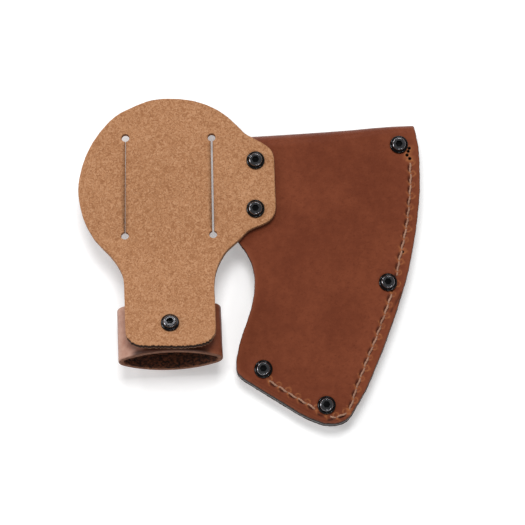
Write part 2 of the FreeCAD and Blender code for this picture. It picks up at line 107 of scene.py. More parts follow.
# ---- plane curves
def natural_spline(t, values, at):
    """Natural cubic spline through values at t, read at the places in at."""
    n = len(t)
    h = np.diff(t)
    system = np.eye(n)
    right = np.zeros(n)
    for i in range(1, n - 1):
        system[i, i - 1] = h[i - 1]
        system[i, i] = 2 * (h[i - 1] + h[i])
        system[i, i + 1] = h[i]
        right[i] = 6 * ((values[i + 1] - values[i]) / h[i] - (values[i] - values[i - 1]) / h[i - 1])
    curve = np.linalg.solve(system, right)
    k = np.clip(np.searchsorted(t, at, side="right") - 1, 0, n - 2)
    a = t[k + 1] - at
    b = at - t[k]
    return ((curve[k] * a ** 3 + curve[k + 1] * b ** 3) / (6 * h[k])
            + (values[k] / h[k] - curve[k] * h[k] / 6) * a
            + (values[k + 1] / h[k] - curve[k + 1] * h[k] / 6) * b)


def resample(line, step=None, count=None):
    line = np.asarray(line, float)
    run = np.concatenate([[0], np.cumsum(np.linalg.norm(np.diff(line, axis=0), axis=1))])
    if count is None:
        count = max(2, int(round(run[-1] / step)) + 1)
    at = np.linspace(0, run[-1], count)
    return np.stack([np.interp(at, run, line[:, k]) for k in range(2)], axis=1)


def fine_curve(points):
    p = np.asarray(points, float)
    t = np.concatenate([[0], np.cumsum(np.linalg.norm(np.diff(p, axis=0), axis=1))])
    at = np.linspace(0, t[-1], 40 * len(p))
    return np.stack([natural_spline(t, p[:, 0], at), natural_spline(t, p[:, 1], at)], axis=1)


def through(points, step=CURVE_STEP):
    return resample(fine_curve(points), step)


def straight(a, b, step=CURVE_STEP):
    return resample([a, b], step)


def arc(centre, radius, start, end, step):
    count = max(8, int(abs(end - start) * radius / step))
    a = np.linspace(start, end, count)
    return np.stack([centre[0] + radius * np.cos(a), centre[1] + radius * np.sin(a)], axis=1)


def circle(centre, radius, count=40):
    a = np.linspace(0, 2 * math.pi, count, endpoint=False)
    return np.stack([centre[0] + radius * np.cos(a), centre[1] + radius * np.sin(a)], axis=1)


def closed(*runs):
    line = np.concatenate(runs)
    keep = np.linalg.norm(line - np.roll(line, 1, axis=0), axis=1) > 1e-3
    line = line[keep]
    x, y = line.T
    area = np.sum(x * np.roll(y, -1) - np.roll(x, -1) * y)
    return line if area > 0 else line[::-1]


def distance(points, loops, close=True):
    """Shortest distance from each point to the loops, or to open lines."""
    best = np.full(len(points), 1e9)
    for loop in loops:
        a = loop if close else loop[:-1]
        b = np.roll(loop, -1, axis=0) if close else loop[1:]
        d = b - a
        length = np.maximum((d ** 2).sum(1), 1e-12)
        for start in range(0, len(points), CHUNK):
            q = points[start:start + CHUNK, None, :]
            t = np.clip(((q - a) * d).sum(2) / length, 0, 1)
            gap = np.linalg.norm(q - (a + t[..., None] * d), axis=2).min(1)
            best[start:start + CHUNK] = np.minimum(best[start:start + CHUNK], gap)
    return best


def inside(points, loops):
    hit = np.zeros(len(points), int)
    for loop in loops:
        a = loop
        b = np.roll(loop, -1, axis=0)
        for start in range(0, len(points), CHUNK):
            x = points[start:start + CHUNK, 0][:, None]
            y = points[start:start + CHUNK, 1][:, None]
            spans = (a[:, 1] > y) != (b[:, 1] > y)
            with np.errstate(divide="ignore", invalid="ignore"):
                cross = a[:, 0] + (y - a[:, 1]) * (b[:, 0] - a[:, 0]) / (b[:, 1] - a[:, 1])
            hit[start:start + CHUNK] += (spans & (x < cross)).sum(1)
    return hit % 2 == 1


def unit(along):
    return along / np.maximum(np.linalg.norm(along, axis=1), 1e-9)[:, None]


def turned_left(along):
    return np.stack([-along[:, 1], along[:, 0]], axis=1)


def line_left(line):
    """Unit vectors to the left of an open line."""
    return turned_left(unit(np.gradient(line, axis=0)))


def loop_left(loop):
    """Unit vectors to the left of a closed loop."""
    return turned_left(unit(np.roll(loop, -1, axis=0) - np.roll(loop, 1, axis=0)))


def ring(loop, depth):
    """The loop moved to its left by depth, without the points that come too near."""
    moved = loop + loop_left(loop) * depth
    return moved[distance(moved, [loop]) > depth - RING_SLACK]


# length, share and phase of each wave that a hand-held knife leaves
KNIFE_WAVES = [(17.0, 0.5, 0.4), (6.1, 0.45, 1.9), (2.7, 0.4, 3.1), (1.45, 0.35, 0.8)]


def hand_cut(loop, amount):
    """Moves a closed outline in and out a little, as a knife and wear leave it."""
    run = np.cumsum(np.linalg.norm(loop - np.roll(loop, 1, axis=0), axis=1))
    total = run[-1]
    wave = np.zeros(len(loop))
    for length, share, phase in KNIFE_WAVES:
        turns = round(total / length)
        wander = 1.7 * np.sin(run / length * 0.37)
        wave += share * np.sin(2 * math.pi * turns * run / total + phase + wander)
    return loop + loop_left(loop) * (amount * (1.0 + wave))[:, None]


TORN_FADE = 6.0


def torn(line, amount):
    """Roughens an open run of an outline, as torn fibres do, and leaves its two ends in place."""
    run = np.concatenate([[0], np.cumsum(np.linalg.norm(np.diff(line, axis=0), axis=1))])
    wave = np.sin(run * 2.9 + 2 * np.sin(run * 0.63))
    wave = wave + 0.8 * np.sin(run * 5.3 + 1.1 + 3 * np.sin(run * 0.41))
    fade = np.minimum(1, np.minimum(run, run[-1] - run) / TORN_FADE)
    return line + line_left(line) * (amount * wave * fade)[:, None]


RING_DEPTHS = (0.12, 0.3, 0.55, 0.9, 1.35)
RING_SLACK = 0.06
EXTRA_CLEAR = 0.3
ROW_SHARE = 0.866


def sheet_net(outline, holes, step, extra=()):
    """Triangles that fill an outline with holes, finer towards every edge. Gives points, triangles
    and each point's distance to the nearest edge."""
    loops = [outline] + list(holes)
    inner = [outline] + [h[::-1] for h in holes]
    cloud = [ring(loop, depth) for loop in inner for depth in RING_DEPTHS]
    low = outline.min(0)
    high = outline.max(0)
    nx = int((high[0] - low[0]) / step) + 1
    ny = int((high[1] - low[1]) / (step * ROW_SHARE)) + 1
    gx, gy = np.meshgrid(np.arange(nx), np.arange(ny))
    across = low[0] + (gx + 0.5 * (gy % 2)) * step
    up = low[1] + gy * step * ROW_SHARE
    grid = np.stack([across, up], axis=-1).reshape(-1, 2)
    finer = np.concatenate(list(extra)) if len(extra) else np.zeros((0, 2))
    if len(finer):
        finer = finer[inside(finer, loops)]
        finer = finer[distance(finer, loops) > EXTRA_CLEAR]
        cells = set(map(tuple, np.round(finer / step).astype(int)))
        near = [tuple(c) in cells for c in np.round(grid / step).astype(int)]
        grid = grid[~np.array(near)]
    grid = grid[inside(grid, loops)]
    grid = grid[distance(grid, loops) > RING_DEPTHS[-1] + step * 0.4]
    cloud += [grid, finer]
    points = []
    edges = []
    for loop in loops:
        first = len(points)
        points += [Vector(p) for p in loop]
        edges += [(first + i, first + (i + 1) % len(loop)) for i in range(len(loop))]
    body = np.concatenate(cloud)
    body = body[inside(body, loops)]
    points += [Vector(p) for p in body]
    out = delaunay_2d_cdt(points, edges, [], 0, 1e-5)
    flat = np.array([tuple(v) for v in out[0]])
    tris = np.array([f for f in out[2] if len(f) == 3])
    tris = tris[inside(flat[tris].mean(1), loops)]
    used = np.unique(tris)
    index = np.full(len(flat), -1)
    index[used] = np.arange(len(used))
    flat = flat[used]
    tris = index[tris]
    return flat, tris, distance(flat, loops)


def rounding(depth, radius):
    """How far a face drops at this depth in from a rounded edge."""
    inward = np.clip(radius - depth, 0, radius)
    return radius - np.sqrt(np.maximum(radius ** 2 - inward ** 2, 0))


def smoothstep(low, high, x):
    """0 at low and 1 at high, which may be given either way round."""
    t = np.clip((x - low) / (high - low), 0, 1)
    return t * t * (3 - 2 * t)


def waves(points, scale, seed):
    """Smooth small swells, -1 to 1, with no random draws."""
    x = points[:, 0] / scale
    y = points[:, 1] / scale
    a, b, c = seed
    along_x = np.sin(x * 1.0 + a + 1.3 * np.sin(y * 0.7 + b))
    along_y = np.sin(y * 1.1 + c + 1.1 * np.sin(x * 0.6 + a))
    return (along_x + along_y + 0.6 * np.sin((x + y) * 1.7 + b)) / 2.6


# ---- mesh making
def show(obj):
    bpy.context.scene.collection.objects.link(obj)


def make_mesh(name, points, faces, attributes=None):
    mesh = bpy.data.meshes.new(name)
    mesh.from_pydata((np.asarray(points) * MM).tolist(), [], [list(map(int, f)) for f in faces])
    mesh.validate()
    for poly in mesh.polygons:
        poly.use_smooth = True
    for key, values in (attributes or {}).items():
        layer = mesh.attributes.new(key, "FLOAT", "POINT")
        layer.data.foreach_set("value", np.asarray(values, np.float32))
    obj = bpy.data.objects.new(name, mesh)
    show(obj)
    return obj


WALL_ROWS = 3
CUT_BAND = (0.02, 0.16)
RIM_BAND = (0.3, 2.6)
MERGE_GAP = 2e-6


def solid_sheet(name, net, outer, inner, flip=False, marks=None, joined=None):
    """Closes two mapped copies of a net into one solid. outer and inner are the mapped points.
    joined marks rim points that meet other rim points, and get no wall."""
    flat, tris, depth = net
    count = len(flat)
    top = tris[:, ::-1] if flip else tris
    edges = np.concatenate([top[:, [0, 1]], top[:, [1, 2]], top[:, [2, 0]]])
    pairs = set(map(tuple, edges))
    rim = [(a, b) for a, b in pairs if (b, a) not in pairs]
    if joined is not None:
        rim = [(a, b) for a, b in rim if not (joined[a] and joined[b])]
    faces = [list(t) for t in top] + [list(t[::-1] + count) for t in top]
    points = [outer, inner]
    skin = [np.zeros(count), np.ones(count)]
    depths = [depth, depth]
    rim_ids = sorted({a for a, _ in rim} | {b for _, b in rim})
    slot_of = {v: i for i, v in enumerate(rim_ids)}
    rows = [np.array(rim_ids)]
    for k in range(1, WALL_ROWS + 1):
        share = k / (WALL_ROWS + 1)
        rows.append(np.arange(len(rim_ids)) + 2 * count + (k - 1) * len(rim_ids))
        points.append(outer[rim_ids] * (1 - share) + inner[rim_ids] * share)
        skin.append(np.full(len(rim_ids), share))
        depths.append(np.zeros(len(rim_ids)))
    rows.append(np.array(rim_ids) + count)
    for a, b in rim:
        ia = slot_of[a]
        ib = slot_of[b]
        for high, low in zip(rows, rows[1:]):
            faces.append([high[ib], high[ia], low[ia], low[ib]])
    depths = np.concatenate(depths)
    attributes = {
        "flesh": np.concatenate(skin),
        "cut": 1 - smoothstep(*CUT_BAND, depths),
        "rim": 1 - smoothstep(*RIM_BAND, depths),
    }
    for key, values in (marks or {}).items():
        on_wall = np.tile(values[rim_ids], WALL_ROWS)
        attributes[key] = np.concatenate([values, np.zeros(count), on_wall])
    piece = make_mesh(name, np.concatenate(points), faces, attributes)
    if joined is not None:
        work = bmesh.new()
        work.from_mesh(piece.data)
        bmesh.ops.remove_doubles(work, verts=work.verts, dist=MERGE_GAP)
        work.to_mesh(piece.data)
        work.free()
    return piece


# ---- belt carrier
HEAD = (-34.1, 31.1)
HEAD_RADIUS = 41.1
BEND_RADIUS = 60.0
BEND_RISE = BEND_RADIUS * (1 - math.cos(SLOPE))
BEND_END = SWIVEL_POINT.y + (SWIVEL_POINT.z - HEAD_BASE - BEND_RISE) / math.tan(SLOPE)
BEND_START = BEND_END + BEND_RADIUS * math.sin(SLOPE)
FLAT_BEND_END = BEND_START - BEND_RADIUS * SLOPE
FLAT_SCREW = FLAT_BEND_END - (BEND_END - SWIVEL_POINT.y) / math.cos(SLOPE)
NECK_LEFT = -54.3
NECK_RIGHT = -14.9
TONGUE_END = 10.85


def unroll(y):
    """Where a point of the plate at plan y lies on the leather before it was bent."""
    if y >= BEND_START:
        return y
    if y >= BEND_END:
        return BEND_START - BEND_RADIUS * math.asin((BEND_START - y) / BEND_RADIUS)
    return FLAT_BEND_END - (BEND_END - y) / math.cos(SLOPE)


def flat(points):
    return [(x, unroll(y)) for x, y in points]


def roll_plate(points, height):
    """Bends the flat plate into place. height is above the underside."""
    x, s = points.T
    angle = np.clip((BEND_START - s) / BEND_RADIUS, 0, SLOPE)
    radius = BEND_RADIUS - height
    y = BEND_START - radius * np.sin(angle)
    z = HEAD_BASE + BEND_RADIUS - radius * np.cos(angle)
    head = np.maximum(s - BEND_START, 0)
    tail = np.maximum(FLAT_BEND_END - s, 0)
    y = y + head - tail * math.cos(SLOPE)
    z = z + tail * math.sin(SLOPE)
    return np.stack([x, y, z], axis=1)


def head_point(degrees, deviation):
    """A point of the round head. It was cut by hand, so it leaves a true circle by the deviation."""
    a = math.radians(degrees)
    radius = HEAD_RADIUS + deviation
    return (HEAD[0] + radius * math.cos(a), HEAD[1] + radius * math.sin(a))


HEAD_CUT = [(41, -0.45), (52, -0.35), (64, -0.1), (78, -0.2), (92, -0.2), (106, 0.0), (116, -0.25),
            (127, 0.1), (137, -0.25), (147, -0.5), (160, -0.5), (171, -0.4), (180, -0.05), (192, -0.2),
            (203, -0.2), (214, -0.3)]
HEAD_EDGE = [head_point(*cut) for cut in HEAD_CUT]


def slit_hole(top, bottom, width):
    """A slit with a round punched hole at each end."""
    down = math.atan2(bottom[1] - top[1], bottom[0] - top[0])
    half = math.asin(width / 2 / SLIT_END_RADIUS)
    turn = 2 * math.pi
    return closed(arc(top, SLIT_END_RADIUS, down + half, down + turn - half, 0.3),
                  arc(bottom, SLIT_END_RADIUS, down + turn / 2 + half, down + 1.5 * turn - half, 0.3))


def rings_round(spot, radii, step):
    """Extra points for a net, in circles round a screw."""
    return [circle(spot, r, int(2 * math.pi * r / step)) for r in radii]


def screw_bulge(points, spots):
    """Leather pushed up in a low ring round each screw flange."""
    lift = np.zeros(len(points))
    for spot in spots:
        r = np.linalg.norm(points - np.array(spot), axis=1)
        lift += 0.16 * np.exp(-((r - FLANGE_RADIUS - 0.7) / 0.6) ** 2)
    return lift


def belt_carrier():
    left = NECK_LEFT
    right = NECK_RIGHT
    s = FLAT_SCREW
    tab_under = [(6.2, 14.8), (2.8, 13.5), (-0.4, 11.7), (-3.3, 8.6), (-7.3, 4.8), (-10.3, 1.4),
                 (-12.3, -2.4), (-13.95, -6.6), (-14.75, -11.2), (right, -14.0)]
    neck = [(left, -15.0), (-54.55, -11.6), (-55.55, -7.9), (-57.65, -4.0), (-60.65, 0.2), (-65.1, 5.0),
            HEAD_EDGE[-1]]
    end = s - TONGUE_END
    middle = SWIVEL_POINT.x
    tip = [(left + 1.0, s - 3.5), (left + 1.5, s - 6.0), (left + 3.6, s - 8.8), (left + 6.6, end + 0.5),
           (left + 10.5, end + 0.1), (middle, end), (right - 9.0, end + 0.3), (right - 5.0, end + 1.1),
           (right - 1.6, s - 7.9), (right + 0.2, s - 5.2), (right + 0.9, s - 2.5)]
    outline = closed(
        through(HEAD_EDGE),
        through(flat(neck[::-1])),
        straight(flat(neck)[0], tip[0]),
        torn(through(tip, 0.35), 0.16),
        straight(tip[-1], flat(tab_under)[-1]),
        through(flat(tab_under)[::-1]),
        through([(6.2, 14.8), (9.4, 16.8), (11.4, 19.7), (11.9, 23.2)]),
        straight((11.9, 23.2), (11.15, 44.4)),
        through([(11.15, 44.4), (10.1, 48.1), (7.8, 50.5), (4.7, 52.4)]),
        through([(4.7, 52.4), (1.8, 54.0), (-1.3, 55.8), HEAD_EDGE[0]]),
    )
    outline = hand_cut(outline, 0.05)
    screw_spots = TAB_SPOTS + [(SWIVEL_POINT.x, s)]
    holes = [circle(spot, HOLE_RADIUS) for spot in screw_spots]
    holes += [slit_hole(*slit) for slit in SLITS]
    around = []
    for spot in screw_spots:
        around += rings_round(spot, (4.1, 4.5, 4.9, 5.3, 5.8), 0.45)
    net = sheet_net(outline, holes, 0.9, around)
    points, _, depth = net
    swell = 0.10 * waves(points, 9.0, (0.3, 1.1, 2.0)) * smoothstep(0, 6, depth)
    lift = screw_bulge(points, screw_spots)
    rim = distance(points, [outline])
    hole_edge = rounding(distance(points, holes), 0.1)
    top = PLATE - rounding(rim, 0.35) - hole_edge + lift + np.minimum(swell, 0.06)
    base = rounding(rim, 0.7) * 0.9 + hole_edge
    # painted shade: the cut edge at the tongue's end is darkened to stand in for the shadow there
    shade = (1 - smoothstep(end + 2.5, end + 6.0, points[:, 1])) * (1 - smoothstep(0.0, 0.5, rim))
    piece = solid_sheet("carrier_plate", net, roll_plate(points, top), roll_plate(points, base),
                        marks={"dark": shade})
    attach(piece, "carrier")
    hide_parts("belt_carrier")
    return piece


# ---- blade pocket
BIT_EDGE = [(74.3, 57.5), (75.2, 52.5), (75.6, 47.0), (75.8, 36.0), (74.9, 22.5), (72.8, 8.0),
            (69.5, -7.5), (65.7, -20.0), (61.0, -33.6), (55.7, -47.1), (50.7, -58.2), (46.2, -66.0)]
HEEL_CORNER = [(46.2, -66.0), (43.2, -70.1), (38.8, -72.2), (32.8, -72.3)]
HEEL_EDGE = [(32.8, -72.3), (25.8, -69.6), (13.7, -62.5), (1.1, -54.7), (-2.5, -52.3)]
MOUTH_CORNER = [(-2.5, -52.3), (-4.7, -50.0), (-5.6, -46.7), (-5.4, -43.0)]
MOUTH_EDGE = [(-5.4, -43.0), (-3.8, -36.0), (-1.5, -28.8), (1.15, -20.6), (2.3, -13.0), (2.1, -5.6),
              (-0.2, 1.0), (-3.8, 6.6), (-8.3, 13.2), (-11.6, 21.0), (-12.4, 30.0)]
FAR_MOUTH = [(-5.4, -43.0), (-2.9, -36.2), (0.3, -29.2), (2.7, -21.0), (4.1, -13.4), (3.9, -6.0),
             (1.6, 0.6), (-2.0, 6.2), (-6.5, 12.8), (-9.8, 20.6), (-10.6, 29.6)]
TOE_CORNER = [(73.1, 66.0), (73.6, 61.6), (74.3, 57.5)]
# stations along the fold: x, fold y, crown y, seam y, height of the near panel
STATIONS = np.array([
    (-20.0, 55.4, 12.0, -30.0, MOUTH),
    (12.0, 57.35, 12.0, -48.0, MOUTH),
    (33.0, 58.95, 6.0, -59.5, MOUTH - 1.1),
    (45.0, 60.0, 8.0, -44.0, MOUTH - 2.0),
    (55.0, 61.15, 14.0, -18.0, STACK + 0.8),
    (64.0, 61.95, 20.0, 5.0, STACK),
    (84.0, 62.8, 20.0, 5.0, STACK),
])
HALF_FOLD = 9.0


def station(x):
    return [np.interp(x, STATIONS[:, 0], STATIONS[:, k]) for k in range(1, 5)]


def fold_root(x):
    fold_y, _, _, height = station(x)
    return fold_y - height / 2


def near_height(x, y):
    """Height of the near panel's grain face above the far panel's grain face."""
    _, crown, seam, height = station(x)
    u = np.clip((crown - y) / (crown - seam), 0, 1)
    u = 0.45 * u + 0.55 * u * u * (3 - 2 * u)
    return height - (height - STACK) * u


def on_sheet(points, side):
    p = np.asarray(points, float)
    w = HALF_FOLD + fold_root(p[:, 0]) - p[:, 1]
    return np.stack([p[:, 0], side * w], axis=1)


BIT_SEAM = [(71.4, 44.6), (71.5, 35.0), (70.6, 24.0), (68.9, 12.0), (67.2, 4.5), (65.6, -2.5),
            (64.55, -10.0), (62.1, -16.0), (60.7, -20.9), (58.9, -26.0), (55.0, -36.3), (52.2, -43.2),
            (50.4, -47.9), (48.3, -53.1), (46.5, -58.4), (45.3, -62.8), (43.9, -66.4)]
HEEL_SEAM = [(42.7, -67.7), (40.4, -68.9), (36.6, -69.9), (32.3, -68.1), (28.8, -65.9), (23.1, -62.3),
             (16.5, -58.4), (11.5, -55.2), (8.7, -53.5)]
HEEL_CREASE = [(41.5, -70.2), (37.0, -71.4), (32.6, -71.2), (25.6, -68.2), (14.2, -61.4), (2.2, -54.0)]
BARE_HOLES = [(71.1, 51.0), (70.6, 49.6), (70.1, 47.9), (71.3, 46.3), (67.6, 4.0)]
SCUFFS = [[(66.7, -14.3), (65.4, -17.2), (63.8, -20.2), (62.3, -22.8)],
          [(68.0, -13.2), (67.1, -15.9), (65.9, -18.6)]]


def seam_spots(points):
    line = fine_curve(points)
    length = np.linalg.norm(np.diff(line, axis=0), axis=1).sum()
    return resample(line, count=max(1, round(length / STITCH_PITCH)) + 1)


BIT_SPOTS = seam_spots(BIT_SEAM)
HEEL_SPOTS = seam_spots(HEEL_SEAM)


def screw_gap(points):
    """Distance from each point to the nearest edge screw's axis."""
    gaps = [np.linalg.norm(points - np.array(spot), axis=1) for spot in EDGE_SPOTS]
    return np.min(gaps, axis=0)


# how deep things are pressed into the pocket's grain face, in millimetres
GROOVE_DEPTH = 0.22
LIP_HEIGHT = 0.24
AWL_SLOT_DEPTH = 0.45
BARE_LIP_HEIGHT = 0.12
CREASE_DEPTH = 0.14
SCUFF_DEPTH = 0.16


def seam_relief(plan):
    """The seam's groove, awl holes and raised lips, and the crease, on the flat panel. Gives the depth
    pressed in (negative stands proud), how dark each point is (painted shade in the awl slots, darker
    along the crease, real scuffs), and how raised and rubbed."""
    press = np.zeros(len(plan))
    dark = np.zeros(len(plan))
    lips = np.zeros(len(plan))
    for spots, arc_side in ((BIT_SPOTS, -1), (HEEL_SPOTS, 1)):
        press += GROOVE_DEPTH * np.exp(-(distance(plan, [spots], close=False) / 0.6) ** 2)
        along = unit(np.gradient(spots, axis=0))
        for number, (spot, way) in enumerate(zip(spots, along)):
            off = plan - spot
            near = np.linalg.norm(off, axis=1) < 5.0
            d = off[near]
            run = d @ way
            across = d @ np.array([way[1], -way[0]]) * -arc_side
            vary = math.sin(number * 2.4)
            knot = np.exp(-(np.hypot(run, across) / 0.62) ** 2)
            bow = np.exp(-((np.hypot(run - 0.2, across + 0.85) - 1.15 - 0.12 * vary) / 0.27) ** 2)
            bow *= smoothstep(0.3, -0.9, across) * (0.8 + 0.2 * vary)
            step = np.clip(((across - 0.3) + (-run - 0.1)) / 2.5, 0, 1)
            tick_gap = np.hypot(across - 0.3 - 1.25 * step, run + 0.1 + 1.25 * step)
            tick = np.exp(-(tick_gap / 0.30) ** 2)
            lip = bow + 0.75 * tick
            press[near] -= LIP_HEIGHT * lip
            lips[near] += lip + 0.9 * knot
            if number + 1 < len(spots):
                middle = run - STITCH_PITCH * (0.52 + 0.05 * vary)
                # the awl slot is darkened as painted shade
                slot = np.exp(-((across - 0.72) / 0.42) ** 2) * np.exp(-(middle / 1.5) ** 4)
                press[near] += AWL_SLOT_DEPTH * slot
                dark[near] += slot
    for spot in BARE_HOLES:
        r = np.linalg.norm(plan - np.array(spot), axis=1)
        lip = np.exp(-((r - 1.0) / 0.3) ** 2)
        press -= BARE_LIP_HEIGHT * lip
        lips += 0.7 * lip
    crease = distance(plan, [through(HEEL_CREASE)], close=False)
    line = np.exp(-(crease / 0.35) ** 2) + 0.6 * np.exp(-((crease - 1.1) / 0.3) ** 2)
    press += CREASE_DEPTH * line
    dark += 0.35 * line
    for scuff in SCUFFS:
        line = np.exp(-(distance(plan, [through(scuff)], close=False) / 0.38) ** 2)
        press += SCUFF_DEPTH * line
        dark += 0.75 * line
    return press, np.clip(dark, 0, 1), np.clip(lips, 0, 1)


def seam_band(points, reach=2.3, step=0.45):
    line = through(points, step)
    across = line_left(line)
    return np.concatenate([line + across * k for k in np.arange(-reach, reach + 0.01, step)])


def roll_pocket(net, lift_out, lift_in):
    """Maps the flat sheet to the folded pocket. Offsets run from each face into the leather."""
    points = net[0]
    x, w = points.T
    fold_y, _, _, height = station(x)
    radius = height / 2
    root = fold_y - radius
    angle = np.clip(w / HALF_FOLD, -1, 1) * math.pi / 2
    beyond = np.maximum(np.abs(w) - HALF_FOLD, 0)
    y = root - beyond
    near_z = near_height(x, y)

    def face(offset):
        ring_y = root + (radius - offset) * np.cos(angle)
        ring_z = radius + (radius - offset) * np.sin(angle)
        py = np.where(beyond > 0, y, ring_y)
        pz = np.where(beyond > 0, np.where(w > 0, near_z - offset, offset), ring_z)
        return np.stack([x, py, pz + LIFT], axis=1)

    return face(lift_out), face(PANEL - lift_in)


def toe_round():
    """The toe corner on the flat sheet, where it wraps round the fold."""
    corner = through(TOE_CORNER, 0.25)
    x, y = corner.T
    fold_y, _, _, height = station(x)
    share = (y - fold_y + height / 2) / (height / 2)
    keep = (share > 0) & (share < 1)
    x = x[keep]
    w = HALF_FOLD * np.arccos(share[keep]) * 2 / math.pi
    up = np.stack([x, w], axis=1)[::-1]
    return resample(np.concatenate([up, up[::-1] * (1, -1)]), 0.6)


def blade_pocket():
    toe = toe_round()
    near_edges = (MOUTH_EDGE, MOUTH_CORNER, HEEL_EDGE, HEEL_CORNER, BIT_EDGE)
    far_edges = (BIT_EDGE, HEEL_CORNER, HEEL_EDGE, MOUTH_CORNER, FAR_MOUTH)
    near = [through(edge)[::-1] for edge in near_edges]
    far = [through(edge) for edge in far_edges]
    runs = [on_sheet(r, 1) for r in near] + [toe] + [on_sheet(r, -1) for r in far]
    far_fold = (FAR_MOUTH[-1][0], -HALF_FOLD)
    near_fold = (MOUTH_EDGE[-1][0], HALF_FOLD)
    runs.append(straight(runs[-1][-1], far_fold))
    runs.append(straight(far_fold, near_fold))
    runs.append(straight(near_fold, runs[0][0]))
    outline = hand_cut(closed(*runs), 0.09)
    bands = [seam_band(BIT_SEAM), seam_band(HEEL_SEAM), seam_band(HEEL_CREASE, 1.6, 0.4)]
    holes = []
    extra = []
    for side in (1, -1):
        for spot in EDGE_SPOTS + (TAB_SPOTS if side > 0 else []):
            holes.append(on_sheet(circle(spot, HOLE_RADIUS), side))
            extra += [on_sheet(r, side) for r in rings_round(spot, (4.1, 4.5, 4.9, 5.4), 0.5)]
        for spot in BARE_HOLES:
            holes.append(on_sheet(circle(spot, BARE_HOLE_RADIUS, 16), side))
            for wider in (0.2, 0.4, 0.7):
                extra.append(on_sheet(circle(spot, BARE_HOLE_RADIUS + wider, 20), side))
        extra += [on_sheet(band, side) for band in bands]
    net = sheet_net(outline, holes, 1.1, extra)
    points, _, depth = net
    x, w = points.T
    y = fold_root(x) + HALF_FOLD - np.abs(w)
    plan = np.stack([x, y], axis=1)
    flat_part = smoothstep(HALF_FOLD, HALF_FOLD + 4, np.abs(w))
    press, dark, lips = seam_relief(plan)
    off_fold = smoothstep(HALF_FOLD - 1, HALF_FOLD + 1, np.abs(w))
    press = press * off_fold
    press -= screw_bulge(plan, EDGE_SPOTS) * flat_part
    swell = 0.22 * waves(plan, 11.0, (1.7, 0.4, 2.9)) * flat_part * smoothstep(4, 16, depth)
    under = w < -HALF_FOLD
    rim = distance(points, [outline])
    holed = distance(points, holes)
    shaped = np.where(under, np.maximum(press, -0.05), press - swell)
    out = rounding(rim, 0.9) + rounding(holed, 0.15) + shaped
    back = rounding(depth, 0.25)
    outer, inner = roll_pocket(net, out, back)
    marks = {"dark": dark * off_fold, "lips": lips * off_fold}
    piece = solid_sheet("pocket_leather", net, outer, inner, flip=True, marks=marks)
    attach(piece, "carrier")
    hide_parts("blade_pocket")
    return piece


# ---- welt between the panels
WELT_INNER = [(62.6, 56.8), (62.8, 50.0), (64.8, 40.0), (64.2, 24.0), (61.6, 8.0), (58.6, -7.0),
              (54.9, -19.5), (50.0, -33.0), (44.6, -46.0), (39.6, -57.0)]
WELT_TURN = [(39.6, -57.0), (36.6, -59.9), (32.0, -59.6)]
WELT_HEEL = [(32.0, -59.6), (20.0, -53.6), (8.0, -46.2), (-4.2, -39.2)]


def welt():
    inset = 0.12
    bit = [(x - inset, y) for x, y in [(74.1, 56.8)] + BIT_EDGE[1:]]
    corner = [(x - inset, y + inset) for x, y in HEEL_CORNER]
    heel = [(x, y + inset) for x, y in HEEL_EDGE]
    mouth = [(-2.5, -52.2), (-4.55, -49.9), (-5.45, -46.7), (-5.2, -43.0), (-4.2, -39.2)]
    outline = closed(through(bit), through(corner), through(heel), through(mouth),
                     through(WELT_HEEL[::-1]), through(WELT_TURN[::-1]), through(WELT_INNER[::-1]))
    holes = [circle(spot, HOLE_RADIUS) for spot in EDGE_SPOTS]
    net = sheet_net(outline, holes, 1.6)
    points, _, depth = net
    low = LIFT + PANEL
    drop = rounding(depth, 0.25)
    outer = np.column_stack([points, low + WELT - drop])
    inner = np.column_stack([points, low + drop])
    piece = solid_sheet("welt_strip", net, outer, inner)
    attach(piece, "carrier")
    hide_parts("welt")
    return piece


# ---- handle loop
LOOP_WIDTH = 45.6
LOOP_DEPTH = 20.5
LOOP_STRIP = 25.1
# from the swivel to the middle of the strip, across the tongue and along it
LOOP_OFFSET = (-0.4, 1.1)
LOOP_END_RADIUS = 5.0
LOOP_GAP = 0.1
LOOP_REST = math.radians(2.6)
# where the left bend gets a painted highlight (sheen), as shares of the girth: middle and reach
SHEEN_BEND = (0.712, 0.045)
# where the rims near the left bend get a painted highlight: middle and reach
SHEEN_RIM = (0.66, 0.05)


def oval(half_width, half_depth, end_radius, count):
    """Four tangent arcs, from the middle of the far wall round through the right side."""
    a, b, r = half_width, half_depth, end_radius
    wall = ((a - r) ** 2 + b ** 2 - r ** 2) / (2 * (b - r))
    lean = math.atan2(a - r, wall - b)
    up = math.pi / 2
    runs = [
        arc((0, wall - b), wall, -up, -up + lean, 0.2),
        arc((a - r, 0), r, -up + lean, up - lean, 0.2),
        arc((0, b - wall), wall, up - lean, up + lean, 0.2),
        arc((r - a, 0), r, up + lean, 3 * up - lean, 0.2),
        arc((0, wall - b), wall, 3 * up - lean, 3 * up, 0.2),
    ]
    return resample(np.concatenate(runs), count=count)


def swivel_frame(points):
    """Loop coordinates (across, along the leather towards +Y, up) to the row frame."""
    x, y, z = points.T
    c, s = math.cos(LOOP_REST), math.sin(LOOP_REST)
    x, y = x * c - y * s, x * s + y * c
    c, s = math.cos(SLOPE), math.sin(SLOPE)
    return np.stack([x, y * c + z * s, -y * s + z * c], axis=1) + np.array(SWIVEL_POINT)


